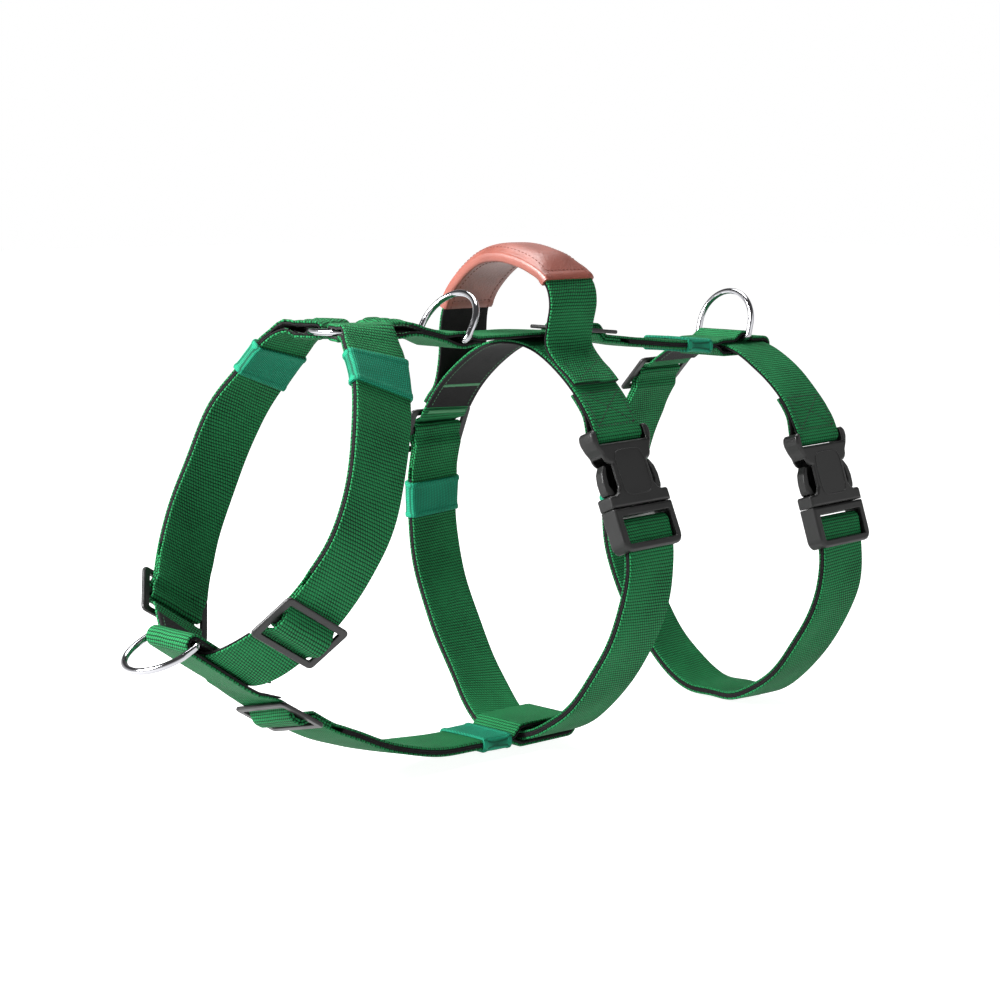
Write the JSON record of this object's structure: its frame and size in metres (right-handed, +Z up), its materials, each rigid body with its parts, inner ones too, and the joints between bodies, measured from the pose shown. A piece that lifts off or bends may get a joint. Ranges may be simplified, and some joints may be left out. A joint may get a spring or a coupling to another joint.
{
  "type": "dog harness",
  "caption": "Webbing dog harness with neck, chest and belly loops, side-release buckles, sliders, lead rings and a padded top handle.",
  "frame": {"origin": "on the underside of the back strap, midway between the withers and the handle, where the harness lies on the dog's back", "axes": "+X towards the dog's tail, +Y to the dog's right, +Z up"},
  "size_m": [0.5065, 0.2042, 0.3091],
  "materials": {
    "webbing": "ribbed woven nylon webbing, forest green",
    "keeper": "woven elastic, blue green",
    "lining": "soft matt fabric lining, black",
    "leather": "grained leather, terracotta",
    "foam": "soft padding, grey",
    "plastic": "moulded acetal, satin black",
    "steel": "polished nickel plate"
  },
  "bodies": {
    "harness": {"back_front_lining": "lining", "back_keeper": "keeper", "back_rear_lining": "lining", "back_strap": "webbing", "belly_front_lining": "lining", "belly_keeper": "keeper", "belly_rear_lining": "lining", "belly_strap": "webbing", "chest_buckle_female": "plastic", "chest_keeper": "keeper", "chest_lower_lining": "lining", "chest_strap": "webbing", "chest_upper_lining": "lining", "handle_lining": "lining", "handle_pad": "foam", "handle_sleeve": "leather", "handle_strap": "webbing", "neck_far_front_lining": "lining", "neck_far_keeper": "keeper", "neck_far_lining": "lining", "neck_far_strap": "webbing", "neck_near_front_lining": "lining", "neck_near_keeper": "keeper", "neck_near_lining": "lining", "neck_near_strap": "webbing", "rear_buckle_female": "plastic", "rear_keeper": "keeper", "rear_lower_lining": "lining", "rear_strap": "webbing", "rear_upper_lining": "lining"},
    "top_ring": {"top_o_ring": "steel"},
    "withers_ring": {"withers_d_ring": "steel"},
    "rear_ring": {"rear_d_ring": "steel"},
    "front_ring": {"front_d_ring": "steel"},
    "chest_buckle_half": {"chest_buckle_male": "plastic"},
    "chest_prong_front": {"chest_buckle_prong_front": "plastic"},
    "chest_prong_rear": {"chest_buckle_prong_rear": "plastic"},
    "rear_buckle_half": {"rear_buckle_male": "plastic"},
    "rear_prong_front": {"rear_buckle_prong_front": "plastic"},
    "rear_prong_rear": {"rear_buckle_prong_rear": "plastic"},
    "neck_near_adjuster": {"neck_near_slider": "plastic"},
    "neck_far_adjuster": {"neck_far_slider": "plastic"},
    "chest_adjuster": {"chest_slider": "plastic"},
    "rear_adjuster": {"rear_slider": "plastic"},
    "belly_adjuster": {"belly_slider": "plastic"},
    "back_adjuster": {"back_slider": "plastic"}
  },
  "joints": [
    {"name": "top_ring_spin", "type": "hinge", "parent": "harness", "child": "top_ring", "pos_m": [-0.108, 0, 0.00935], "axis": [0, 0, 1], "continuous": true},
    {"name": "withers_ring_fold", "type": "hinge", "parent": "harness", "child": "withers_ring", "pos_m": [-0.038, 0, 0.00091], "axis": [0, 1, 0], "range_deg": [-85, 40]},
    {"name": "rear_ring_fold", "type": "hinge", "parent": "harness", "child": "rear_ring", "pos_m": [0.21199, 0, -0.01], "axis": [0, 1, 0], "range_deg": [-85, 60]},
    {"name": "front_ring_fold", "type": "hinge", "parent": "harness", "child": "front_ring", "pos_m": [-0.23345, 0, -0.15415], "axis": [0, -1, 0], "range_deg": [-100, 85]},
    {"name": "chest_buckle_release", "type": "slide", "parent": "harness", "child": "chest_buckle_half", "axis": [0.0276, -0.3895, -0.9206], "range_m": [0, 0.036], "deforming": ["chest_strap", "chest_lower_lining", "chest_buckle_prong_front", "chest_buckle_prong_rear"]},
    {"name": "chest_prong_front_press", "type": "hinge", "parent": "chest_buckle_half", "child": "chest_prong_front", "pos_m": [0.02222, -0.08785, -0.09799], "axis": [0, 0.921, -0.3897], "range_deg": [0, 11], "stiffness_Nm_per_rad": 0.6},
    {"name": "chest_prong_rear_press", "type": "hinge", "parent": "chest_buckle_half", "child": "chest_prong_rear", "pos_m": [0.05421, -0.0875, -0.09717], "axis": [0, -0.921, 0.3897], "range_deg": [0, 11], "stiffness_Nm_per_rad": 0.6},
    {"name": "rear_buckle_release", "type": "slide", "parent": "harness", "child": "rear_buckle_half", "axis": [0.0294, -0.3049, -0.9519], "range_m": [0, 0.036], "deforming": ["rear_strap", "rear_lower_lining", "rear_buckle_prong_front", "rear_buckle_prong_rear"]},
    {"name": "rear_prong_front_press", "type": "hinge", "parent": "rear_buckle_half", "child": "rear_prong_front", "pos_m": [0.20089, -0.09045, -0.11401], "axis": [0, 0.9523, -0.3051], "range_deg": [0, 11], "stiffness_Nm_per_rad": 0.6},
    {"name": "rear_prong_rear_press", "type": "hinge", "parent": "rear_buckle_half", "child": "rear_prong_rear", "pos_m": [0.23288, -0.09016, -0.11311], "axis": [0, -0.9523, 0.3051], "range_deg": [0, 11], "stiffness_Nm_per_rad": 0.6},
    {"name": "neck_near_adjust", "type": "slide", "parent": "harness", "child": "neck_near_adjuster", "axis": [-0.4432, 0.5826, -0.6813], "range_m": [-0.012, 0.012], "deforming": ["neck_near_strap", "neck_near_lining", "neck_near_front_lining"]},
    {"name": "neck_far_adjust", "type": "slide", "parent": "harness", "child": "neck_far_adjuster", "axis": [-0.4432, -0.5826, -0.6813], "range_m": [-0.012, 0.012], "deforming": ["neck_far_strap", "neck_far_lining", "neck_far_front_lining"]},
    {"name": "chest_adjust", "type": "slide", "parent": "harness", "child": "chest_adjuster", "axis": [-0.0208, -0.4077, 0.9129], "range_m": [-0.012, 0.003], "deforming": ["chest_strap", "chest_upper_lining", "chest_lower_lining"]},
    {"name": "rear_adjust", "type": "slide", "parent": "harness", "child": "rear_adjuster", "axis": [-0.0362, -0.7045, 0.7088], "range_m": [-0.012, 0.012], "deforming": ["rear_strap", "rear_upper_lining", "rear_lower_lining"]},
    {"name": "belly_adjust", "type": "slide", "parent": "harness", "child": "belly_adjuster", "axis": [0.8295, -0.1529, -0.5371], "range_m": [-0.012, 0.012], "deforming": ["belly_strap", "belly_front_lining", "belly_rear_lining"]},
    {"name": "back_adjust", "type": "slide", "parent": "harness", "child": "back_adjuster", "axis": [0.9955, 0, -0.0949], "range_m": [-0.012, 0.012], "deforming": ["back_strap", "back_front_lining", "back_rear_lining"]}
  ]
}
